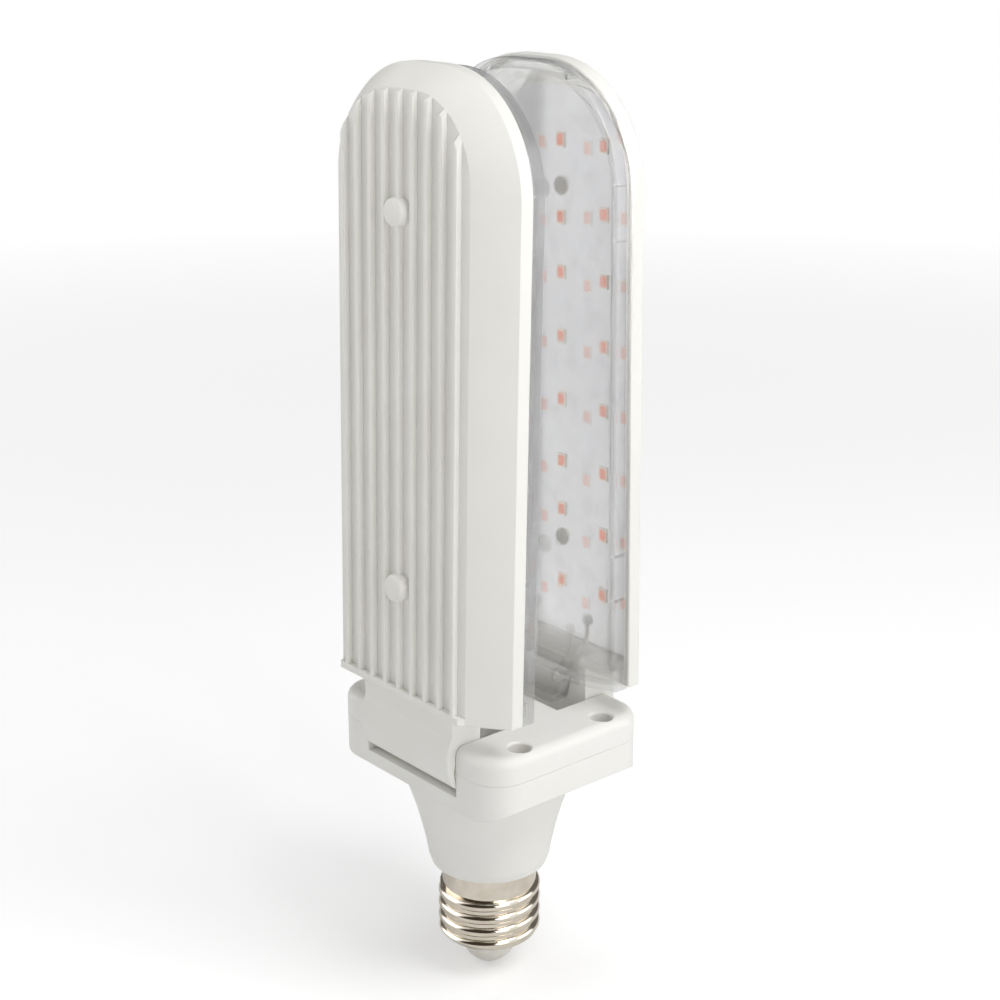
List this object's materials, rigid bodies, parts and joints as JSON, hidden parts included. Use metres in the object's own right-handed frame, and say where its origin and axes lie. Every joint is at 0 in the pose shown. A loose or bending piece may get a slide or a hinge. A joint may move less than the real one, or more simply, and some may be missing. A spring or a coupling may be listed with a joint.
{
  "type": "two-petal LED grow bulb",
  "caption": "Screw-in grow lamp with finned upright petals that carry LEDs under clear covers and fold outwards on hinges in a block above the cap.",
  "frame": {"origin": "lowest point of the screw cap's contact, on the cap's axis", "axes": "+Z from the cap's contact up to the petals; +Y along the hinge lines; petal a on -X and petal b on +X"},
  "size_m": [0.06, 0.065, 0.2327],
  "materials": {
    "nickel": "bright nickel plate",
    "cap_plastic": "smooth pale plastic",
    "contact_metal": "tinned",
    "white_plastic": "fine satin",
    "white_shell": "fine satin",
    "screw_steel": "nickel plated",
    "pin_steel": "ground",
    "washer_nylon": "dull",
    "board_green": "paper laminate",
    "can_black": "sleeved can",
    "ferrite": "sintered",
    "copper": "enamelled wire",
    "moulded_black": "moulded epoxy",
    "resistor_body": "lacquered",
    "lead_black": "insulated wire",
    "lead_red": "insulated wire",
    "lead_white": "insulated wire",
    "board_white": "white solder mask",
    "led_body": "moulded",
    "led_coral": "phosphor gel",
    "solder": "bright solder",
    "clear_plastic": "clear moulded"
  },
  "bodies": {
    "base": {"screw_shell": "nickel", "cap_insulator": "cap_plastic", "centre_contact": "contact_metal", "lower_housing": "white_plastic", "upper_cover": "white_plastic", "housing_screws": "screw_steel", "driver_board": "board_green", "filter_capacitor": "can_black", "choke_core": "ferrite", "choke_winding": "copper", "bridge_rectifier": "moulded_black", "fuse_resistor": "resistor_body", "shell_lead": "lead_black", "contact_lead": "lead_red", "base_feed_wires": "lead_white"},
    "petal_a": {"back_shell_a": "white_shell", "hinge_pins_a": "pin_steel", "friction_washers_a": "washer_nylon", "led_board_a": "board_white", "led_packages_a": "led_body", "led_phosphors_a": "led_coral", "board_screws_a": "screw_steel", "solder_joints_a": "solder", "feed_wires_a": "lead_white", "clear_cover_a": "clear_plastic"},
    "petal_b": {"back_shell_b": "white_shell", "hinge_pins_b": "pin_steel", "friction_washers_b": "washer_nylon", "led_board_b": "board_white", "led_packages_b": "led_body", "led_phosphors_b": "led_coral", "board_screws_b": "screw_steel", "solder_joints_b": "solder", "feed_wires_b": "lead_white", "clear_cover_b": "clear_plastic"}
  },
  "joints": [
    {"name": "petal_a_fold", "type": "hinge", "parent": "base", "child": "petal_a", "pos_m": [-0.0216, 0, 0.06865], "axis": [0, -1, 0], "range_deg": [0, 90]},
    {"name": "petal_b_fold", "type": "hinge", "parent": "base", "child": "petal_b", "pos_m": [0.0216, 0, 0.06865], "axis": [0, 1, 0], "range_deg": [0, 90]}
  ]
}
